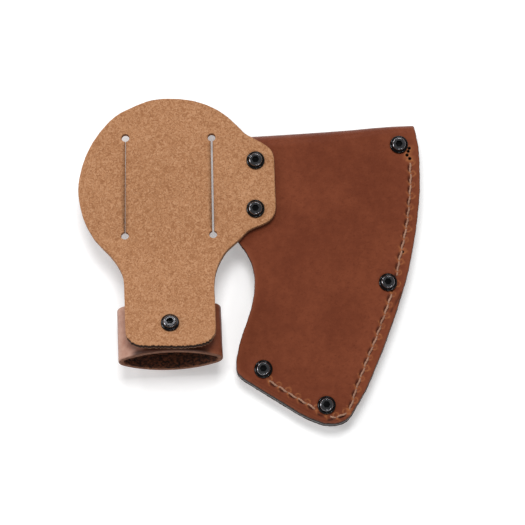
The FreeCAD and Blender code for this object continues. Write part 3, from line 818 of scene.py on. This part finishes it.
def handle_loop():
    outer_line = oval(LOOP_WIDTH / 2, LOOP_DEPTH / 2, LOOP_END_RADIUS, 600)
    length = np.linalg.norm(np.diff(outer_line, axis=0), axis=1).sum()
    half = LOOP_STRIP / 2
    hole = (length / 2 + LOOP_OFFSET[0], -LOOP_OFFSET[1])
    low_edge = straight((0, -half), (length, -half), 0.6)
    high_edge = straight((length, half), (0, half), 0.6)
    wobble = np.sin(low_edge[:, 0] / 2.3) * 0.05 + np.sin(low_edge[:, 0] / 0.71) * 0.05
    wobble = wobble * smoothstep(0, 3, low_edge[:, 0])
    low_edge[:, 1] += wobble * smoothstep(0, 3, length - low_edge[:, 0])
    outline = closed(low_edge, straight((length, -half), (length, half), 0.6),
                     high_edge, straight((0, half), (0, -half), 0.6))
    points, tris, _ = sheet_net(outline, [circle(hole, HOLE_RADIUS)], 0.8)
    run = points[:, 0] / length
    edge_gap = half - np.abs(points[:, 1])
    off_hole = np.hypot(points[:, 0] - hole[0], points[:, 1] - hole[1])
    depth = np.maximum(np.minimum(edge_gap, np.abs(off_hole - HOLE_RADIUS)), 0)
    net = (points, tris, depth)
    table = np.linspace(0, 1, len(outer_line))
    along = np.gradient(outer_line, axis=0)
    along[0] = along[-1] = (1.0, 0.0)
    along /= np.linalg.norm(along, axis=1)[:, None]
    outward = np.stack([along[:, 1], -along[:, 0]], axis=1)

    def face(offset):
        px, pz = [np.interp(run, table, column) for column in outer_line.T]
        nx, nz = [np.interp(run, table, column) for column in outward.T]
        size = np.hypot(nx, nz)
        x = px - nx / size * offset + LOOP_OFFSET[0]
        z = pz - nz / size * offset - LOOP_GAP - LOOP_DEPTH / 2
        return swivel_frame(np.stack([x, points[:, 1] + LOOP_OFFSET[1], z], axis=1))

    free = smoothstep(7.0, 11.0, off_hole)
    turn = run * 2 * math.pi
    around = np.stack([np.cos(turn), np.sin(turn)], axis=1) * length / 6.3
    ripple = 0.10 * waves(around + points[:, 1:] * 0.7, 4.5, (0.9, 2.2, 0.5)) * free
    joined = (points[:, 0] < 1e-4) | (points[:, 0] > length - 1e-4)
    # a painted highlight on the left bend and its rims, and a painted shadow on the grain just in front
    # of the tongue's end
    painted_light = np.exp(-((run - SHEEN_BEND[0]) / SHEEN_BEND[1]) ** 2)
    painted_light += 0.6 * np.exp(-((run - SHEEN_RIM[0]) / SHEEN_RIM[1]) ** 2) * smoothstep(6, 2, edge_gap)
    beside = np.abs(run * length - hole[0])
    # painted shadow: darkens the loop's grain just in front of the tongue's end
    painted_shade = smoothstep(2.6, 1.2, half + points[:, 1]) * smoothstep(19.5, 15.0, beside)
    marks = {"painted_light": np.clip(painted_light, 0, 1), "dark": painted_shade}
    piece = solid_sheet("loop_strap", net, face(rounding(depth, 0.7) - np.minimum(ripple, 0)),
                        face(WALL - rounding(depth, 0.5)), joined=joined, marks=marks)
    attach(piece, "loop")
    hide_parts("handle_loop")
    return piece


# ---- seam thread
THREAD_RADIUS = 0.39
THREAD_SIDES = 10
STITCH_STEPS = 22
PLY_TURN = 2.1
PLY_RIDGE = 0.14
DIVE = 0.34
RISE = 0.44
FLANGE_SINK = 1.1
UNDER_FLANGE = POST_FLANGE_RADIUS + 0.55


def stitch_points(a, b, height, side, number):
    """One stitch as a short bent rod that dives into its holes, with a two-ply twist. Near a screw it
    sinks, because the flange presses it into the leather."""
    run = b - a
    length = np.linalg.norm(run)
    way = run / length
    across = np.array([-way[1], way[0]])
    rings = []
    for k in range(STITCH_STEPS + 1):
        t = k / STITCH_STEPS
        bow = math.sin(math.pi * t) ** 0.6
        sway = 0.12 * math.sin(number * 1.7) * bow + 0.16 * math.sin(2 * math.pi * t)
        centre = a + run * (0.03 + 0.94 * t) + across * sway
        gap = screw_gap(centre[None])[0]
        sink = FLANGE_SINK * (1 - smoothstep(UNDER_FLANGE - 0.4, UNDER_FLANGE + 0.7, gap))
        lift = -DIVE + RISE * bow - sink
        fat = THREAD_RADIUS * (0.78 + 0.22 * bow)
        ring_points = []
        for j in range(THREAD_SIDES):
            angle = 2 * math.pi * j / THREAD_SIDES
            ply = 1 + PLY_RIDGE * math.cos(2 * (angle - t * length * PLY_TURN))
            c = math.cos(angle) * fat * ply * 1.15
            s = math.sin(angle) * fat * ply * 0.85
            xy = centre + across * c
            ring_points.append((xy[0], xy[1], height + side * (lift + s)))
        rings.append(ring_points)
    return rings


def thread(name, spots, node):
    """A seam's stitches on both faces of the pocket, as one piece."""
    points = []
    faces = []
    for number, (a, b) in enumerate(zip(spots, spots[1:])):
        middle = (a + b) / 2
        top = LIFT + near_height(middle[0], middle[1])
        for height, side in ((top, 1), (LIFT, -1)):
            first = len(points)
            rings = stitch_points(a, b, height, side, number)
            for ring_points in rings:
                points += ring_points
            for k in range(len(rings) - 1):
                for j in range(THREAD_SIDES):
                    p = first + k * THREAD_SIDES + j
                    q = first + k * THREAD_SIDES + (j + 1) % THREAD_SIDES
                    quad = [p, q, q + THREAD_SIDES, p + THREAD_SIDES]
                    faces.append(quad[::-1] if side > 0 else quad)
            start = list(range(first, first + THREAD_SIDES))
            end = list(range(len(points) - THREAD_SIDES, len(points)))
            faces += [start, end[::-1]] if side > 0 else [start[::-1], end]
    piece = make_mesh(name, points, faces)
    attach(piece, "carrier")
    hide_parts(node)
    return piece


# ---- materials
CROWN_DEPTH = 1.1


def linear(r, g, b):
    def one(v):
        v /= 255.0
        return v / 12.92 if v <= 0.04045 else ((v + 0.055) / 1.055) ** 2.4
    return (one(r), one(g), one(b), 1.0)


class Surface:
    """A Principled material and short calls for the nodes it needs."""

    def __init__(self, name):
        self.material = bpy.data.materials.new(name)
        self.material.use_nodes = True
        self.tree = self.material.node_tree
        self.shader = self.tree.nodes["Principled BSDF"]
        self.place = self.tree.nodes.new("ShaderNodeTexCoord").outputs["Object"]

    def link(self, source, target):
        self.tree.links.new(source, target)

    def set(self, **values):
        for key, value in values.items():
            self.shader.inputs[key.replace("_", " ")].default_value = value

    def noise(self, size_mm, detail=4.0, rough=0.55, stretch=(1, 1, 1), warp=0.0):
        mapping = self.tree.nodes.new("ShaderNodeMapping")
        mapping.inputs["Scale"].default_value = stretch
        node = self.tree.nodes.new("ShaderNodeTexNoise")
        node.inputs["Scale"].default_value = 1000.0 / size_mm
        node.inputs["Detail"].default_value = detail
        node.inputs["Roughness"].default_value = rough
        node.inputs["Distortion"].default_value = warp
        self.link(self.place, mapping.inputs["Vector"])
        self.link(mapping.outputs["Vector"], node.inputs["Vector"])
        return node.outputs["Fac"]

    def cells(self, size_mm):
        node = self.tree.nodes.new("ShaderNodeTexVoronoi")
        node.feature = "SMOOTH_F1"
        node.inputs["Scale"].default_value = 1000.0 / size_mm
        node.inputs["Smoothness"].default_value = 0.4
        self.link(self.place, node.inputs["Vector"])
        return node.outputs["Distance"]

    def attribute(self, name):
        node = self.tree.nodes.new("ShaderNodeAttribute")
        node.attribute_name = name
        return node.outputs["Fac"]

    def flesh(self, low=0.0, high=1.0):
        """low on the outer face of a piece of leather and high on its other face."""
        return self.span(self.attribute("flesh"), 0.5, 0.98, low, high)

    def along(self, axis):
        """How far each point lies along an axis, in metres."""
        node = self.tree.nodes.new("ShaderNodeVectorMath")
        node.operation = "DOT_PRODUCT"
        self.link(self.place, node.inputs[0])
        node.inputs[1].default_value = axis
        return node.outputs["Value"]

    def span(self, source, low, high, to_low=0.0, to_high=1.0):
        node = self.tree.nodes.new("ShaderNodeMapRange")
        node.inputs["From Min"].default_value = low
        node.inputs["From Max"].default_value = high
        node.inputs["To Min"].default_value = to_low
        node.inputs["To Max"].default_value = to_high
        self.link(source, node.inputs["Value"])
        return node.outputs["Result"]

    def maths(self, operation, a, b):
        node = self.tree.nodes.new("ShaderNodeMath")
        node.operation = operation
        for socket, value in zip(node.inputs, (a, b)):
            if isinstance(value, (int, float)):
                socket.default_value = value
            else:
                self.link(value, socket)
        return node.outputs[0]

    def mix(self, factor, a, b):
        node = self.tree.nodes.new("ShaderNodeMix")
        node.data_type = "RGBA"
        sockets = [node.inputs[0], node.inputs[6], node.inputs[7]]
        for socket, value in zip(sockets, (factor, a, b)):
            if isinstance(value, (int, float, tuple)):
                socket.default_value = value
            else:
                self.link(value, socket)
        return node.outputs[2]

    def bump(self, height, strength, depth_mm):
        node = self.tree.nodes.new("ShaderNodeBump")
        node.inputs["Strength"].default_value = strength
        node.inputs["Distance"].default_value = depth_mm * MM
        self.link(height, node.inputs["Height"])
        return node.outputs["Normal"]

    def finish(self, colour, roughness, normal):
        self.link(colour, self.shader.inputs["Base Color"])
        if isinstance(roughness, (int, float)):
            self.shader.inputs["Roughness"].default_value = roughness
        else:
            self.link(roughness, self.shader.inputs["Roughness"])
        self.link(normal, self.shader.inputs["Normal"])
        return self.material


def suede_leather():
    s = Surface("suede_tan_leather")
    clouds = s.noise(22.0, 3.0)
    fibre = s.noise(1.4, 3.0, 0.5, (1.0, 1.0, 1.0), 1.8)
    nap = s.noise(0.7, 3.0, 0.6, (1.4, 1.0, 1.0), 0.5)
    flesh_colour = s.mix(s.span(clouds, 0.3, 0.7), linear(165, 117, 82), linear(175, 127, 91))
    flesh_colour = s.mix(s.span(fibre, 0.50, 0.64, 0.0, 0.95), flesh_colour, linear(187, 141, 106))
    flesh_colour = s.mix(s.span(fibre, 0.50, 0.36, 0.0, 0.95), flesh_colour, linear(149, 102, 69))
    flesh_colour = s.mix(s.span(nap, 0.52, 0.32, 0.0, 0.35), flesh_colour, linear(128, 84, 55))
    grain_colour = s.mix(s.span(clouds, 0.3, 0.7), linear(108, 56, 37), linear(126, 68, 47))
    cut_colour = s.mix(s.span(fibre, 0.35, 0.65), linear(140, 94, 62), linear(178, 130, 94))
    colour = s.mix(s.flesh(), flesh_colour, grain_colour)
    colour = s.mix(s.attribute("cut"), colour, cut_colour)
    # painted shade: the cut edge at the tongue's end is darkened as if in shadow
    painted_shade = s.maths("MULTIPLY", s.attribute("cut"), s.attribute("dark"))
    colour = s.mix(painted_shade, colour, linear(40, 21, 13))
    height = s.maths("ADD", s.maths("MULTIPLY", fibre, 1.0), s.maths("MULTIPLY", nap, 0.55))
    s.set(Specular_IOR_Level=0.1, Sheen_Weight=0.05, Sheen_Roughness=0.5)
    rough = s.flesh(0.92, 0.5)
    return s.finish(colour, rough, s.bump(height, 0.7, 0.5))


def grain_leather(name, tones, edge_tones, flesh_tones, gloss, shine, seams=False, painted_light=False):
    """Smooth brown leather. tones are two base browns, a dark and a rubbed one; gloss is a roughness
    range and shine a specular level. seams shows the seam's marks, and the last flag paints the loop's
    highlight on its left bend and its shadow in front of the tongue's end."""
    s = Surface(name)
    clouds = s.noise(34.0, 4.0, 0.5, (1, 1, 1), 0.8)
    mottles = s.noise(3.4, 5.0, 0.65)
    pores = s.cells(0.8)
    creases = s.noise(1.2, 6.0, 0.6, (1.0, 1.3, 1.0), 0.4)
    fine = s.noise(0.35, 3.0, 0.6)
    colour = s.mix(s.span(clouds, 0.34, 0.66), linear(*tones[0]), linear(*tones[1]))
    colour = s.mix(s.span(mottles, 0.45, 0.72, 0.0, 0.4), colour, linear(*tones[2]))
    colour = s.mix(s.span(mottles, 0.48, 0.30, 0.0, 0.2), colour, linear(*tones[3]))
    colour = s.mix(s.span(creases, 0.54, 0.68, 0.0, 0.5), colour, linear(*tones[2]))
    rub = s.maths("MULTIPLY", s.attribute("rim"), s.span(mottles, 0.35, 0.65, 0.15, 0.75))
    colour = s.mix(rub, colour, linear(*tones[3]))
    if seams:
        lips = s.maths("MULTIPLY", s.attribute("lips"), s.span(creases, 0.35, 0.6, 0.3, 0.85))
        colour = s.mix(lips, colour, linear(166, 104, 62))
        # painted shade in the awl slots beside the thread; also darker along the crease and at the real
        # scuff marks
        colour = s.mix(s.maths("MULTIPLY", s.attribute("dark"), 0.9), colour, linear(44, 18, 12))
    if painted_light:
        # painted highlight (sheen) on the loop's left bend and its rims
        wear_and_sheen = s.maths("MULTIPLY", s.attribute("painted_light"), s.span(mottles, 0.3, 0.6, 0.55, 0.95))
        colour = s.mix(wear_and_sheen, colour, linear(176, 136, 118))
        # painted shadow on the loop's grain in front of the tongue's end
        colour = s.mix(s.maths("MULTIPLY", s.attribute("dark"), 0.85), colour, linear(46, 22, 13))
    flesh_colour = s.mix(s.span(creases, 0.42, 0.66), linear(*flesh_tones[0]), linear(*flesh_tones[1]))
    colour = s.mix(s.flesh(), colour, flesh_colour)
    cut_colour = s.mix(s.span(creases, 0.3, 0.7), linear(*edge_tones[0]), linear(*edge_tones[1]))
    colour = s.mix(s.attribute("cut"), colour, cut_colour)
    rough = s.span(mottles, 0.2, 0.8, gloss[0], gloss[1])
    rough = s.maths("ADD", rough, s.flesh(0.0, 0.35))
    rough = s.maths("ADD", rough, s.maths("MULTIPLY", s.attribute("cut"), 0.4))
    height = s.maths("ADD", s.maths("MULTIPLY", pores, 0.5), s.maths("MULTIPLY", creases, 0.8))
    height = s.maths("ADD", height, s.maths("MULTIPLY", fine, 0.3))
    s.set(Specular_IOR_Level=shine)
    return s.finish(colour, rough, s.bump(height, 0.45, 0.18))


def burnished_edge():
    s = Surface("burnished_black_edge")
    streaks = s.noise(2.2, 5.0, 0.6, (1.0, 1.0, 6.0))
    colour = s.mix(s.span(streaks, 0.35, 0.7), linear(17, 16, 16), linear(46, 42, 41))
    return s.finish(colour, s.span(streaks, 0.3, 0.7, 0.34, 0.5), s.bump(streaks, 0.3, 0.15))


def thread_material():
    s = Surface("waxed_thread")
    fray = s.noise(0.5, 4.0, 0.6, (1.0, 1.0, 2.0))
    soil = s.noise(7.0, 3.0)
    colour = s.mix(s.span(fray, 0.3, 0.75), linear(172, 133, 111), linear(132, 94, 76))
    colour = s.mix(s.span(soil, 0.46, 0.66, 0.0, 0.6), colour, linear(110, 72, 54))
    s.set(Specular_IOR_Level=0.3, Sheen_Weight=0.1)
    return s.finish(colour, s.span(fray, 0.3, 0.7, 0.5, 0.7), s.bump(fray, 0.5, 0.12))


def black_metal(name, roughness, axis=None, top=0.0):
    """Black oxide. Where an axis is given, the crown that ends at the top is rubbed grey by the key."""
    s = Surface(name)
    wear = s.noise(1.6, 5.0, 0.6)
    grit = s.noise(0.25, 2.0)
    colour = s.mix(s.span(wear, 0.5, 0.8), linear(36, 37, 39), linear(70, 71, 75))
    if axis:
        crown = CROWN_DEPTH * MM
        wear_and_sheen = s.span(s.along(axis), top - crown, top - 0.6 * crown, 0.0, 0.8)
        colour = s.mix(wear_and_sheen, colour, linear(140, 140, 144))
    s.set(Metallic=1.0, Specular_IOR_Level=0.6, Coat_Weight=0.4, Coat_Roughness=0.1)
    rough = s.span(wear, 0.3, 0.75, roughness - 0.06, roughness + 0.08)
    return s.finish(colour, rough, s.bump(grit, 0.05, 0.02))


def rubbed_screws(name, fasteners, axis):
    """One material for screws that stand along the same axis with their heads at one height."""
    first = frame["nodes"][fasteners[0] + "_screw"]
    top = max(vertex.co.dot(Vector(axis)) for vertex in first.data.vertices)
    material = black_metal(name, 0.20, axis, top)
    for fastener in fasteners:
        dress(frame["nodes"][fastener + "_screw"], material)


def floor_material():
    """A pale table, faintly lit from below as a photographer's light table is, so shadows stay pale."""
    s = Surface("pale_floor")
    speck = s.noise(3.0, 4.0)
    colour = s.mix(s.span(speck, 0.3, 0.7), (0.77, 0.77, 0.77, 1), (0.79, 0.79, 0.79, 1))
    s.set(Specular_IOR_Level=0.2, Emission_Color=(1, 1, 1, 1), Emission_Strength=0.32)
    return s.finish(colour, 0.9, s.bump(speck, 0.02, 0.05))


SUEDE = suede_leather()
BROWN = grain_leather(
    "brown_grain_leather",
    tones=[(102, 49, 30), (117, 60, 38), (90, 41, 24), (130, 71, 47)],
    edge_tones=[(30, 20, 17), (52, 38, 32)],
    flesh_tones=[(90, 58, 40), (112, 74, 52)],
    gloss=(0.42, 0.54), shine=0.2, seams=True)
LOOP_BROWN = grain_leather(
    "loop_grain_leather",
    tones=[(112, 58, 37), (126, 68, 45), (96, 47, 30), (142, 86, 60)],
    edge_tones=[(92, 55, 38), (150, 102, 76)],
    flesh_tones=[(38, 18, 11), (132, 77, 49)],
    gloss=(0.34, 0.46), shine=0.4, painted_light=True)
EDGE_BLACK = burnished_edge()
THREAD = thread_material()
POST_BLACK = black_metal("satin_black_post", 0.36)


def dress(obj, material):
    obj.data.materials.clear()
    obj.data.materials.append(material)


dress(belt_carrier(), SUEDE)
dress(blade_pocket(), BROWN)
dress(welt(), EDGE_BLACK)
dress(handle_loop(), LOOP_BROWN)
dress(thread("bit_stitches", BIT_SPOTS, "bit_seam_thread"), THREAD)
dress(thread("heel_stitches", HEEL_SPOTS, "heel_seam_thread"), THREAD)
for fastener in EDGE_SCREWS + TAB_SCREWS + ["loop"]:
    dress(frame["nodes"][fastener + "_post"], POST_BLACK)
rubbed_screws("edge_screw_black", EDGE_SCREWS, (0, 0, 1))
rubbed_screws("tab_screw_black", TAB_SCREWS, (0, 0, 1))
rubbed_screws("loop_screw_black", ["loop"], (0, math.sin(SLOPE), math.cos(SLOPE)))


# ---- floor, light and camera
MIDDLE = (cad_low + cad_high) / 2
FLOOR_HALF = 3.0
FLOOR_GAP = 0.00002


def floor():
    half = FLOOR_HALF
    corners = [(-half, -half, 0), (half, -half, 0), (half, half, 0), (-half, half, 0)]
    mesh = bpy.data.meshes.new("floor")
    mesh.from_pydata(corners, [], [(0, 1, 2, 3)])
    obj = bpy.data.objects.new("floor", mesh)
    obj.location.z = -FLOOR_GAP
    show(obj)
    dress(obj, floor_material())


def soft_light(name, place, size, watts, glossy=True):
    """A rectangular light that faces the middle of the sheath."""
    data = bpy.data.lights.new(name, "AREA")
    data.shape = "RECTANGLE"
    data.size, data.size_y = size
    data.energy = watts
    obj = bpy.data.objects.new(name, data)
    obj.location = place
    obj.visible_glossy = glossy
    obj.rotation_mode = "QUATERNION"
    obj.rotation_quaternion = (MIDDLE - Vector(place)).to_track_quat("-Z", "Y")
    show(obj)


floor()
soft_light("key", (-0.02, 0.44, 1.20), (0.5, 0.45), 11.4, glossy=False)
soft_light("back_sheen", (0.15, 0.85, 0.95), (0.35, 0.2), 1.2)
soft_light("left_softbox", (-0.95, 0.05, 0.60), (0.35, 0.45), 3.8)
soft_light("upper_left_softbox", (-0.62, 0.72, 0.80), (0.2, 0.2), 1.9)
soft_light("front_softbox", (0.12, -0.95, 0.92), (0.3, 0.2), 1.2)
soft_light("front_right_softbox", (0.62, -0.62, 0.85), (0.16, 0.16), 1.2)
world = bpy.data.worlds.new("studio")
world.use_nodes = True
sky = world.node_tree.nodes["Background"]
sky.inputs["Color"].default_value = (1, 1, 1, 1)
sky.inputs["Strength"].default_value = 0.15
bpy.context.scene.world = world
view = bpy.context.scene.view_settings
view.view_transform = "Standard"
view.look = "None"

CAMERA_TILT = math.radians(12.0)
CAMERA_DISTANCE = 1.3
VIEW_WIDTH = 0.231
SENSOR = 36.0
AIM = Vector((0.0060, -0.00075, 0.010))
camera_data = bpy.data.cameras.new("camera")
camera_data.sensor_width = SENSOR
camera_data.lens = SENSOR * CAMERA_DISTANCE / VIEW_WIDTH
camera_data.clip_start = 0.05
camera_data.clip_end = 20.0
camera = bpy.data.objects.new("camera", camera_data)
back = Vector((0, -math.sin(CAMERA_TILT), math.cos(CAMERA_TILT)))
camera.location = AIM + back * CAMERA_DISTANCE
camera.rotation_mode = "QUATERNION"
camera.rotation_quaternion = (-back).to_track_quat("-Z", "Y")
show(camera)
bpy.context.scene.camera = camera
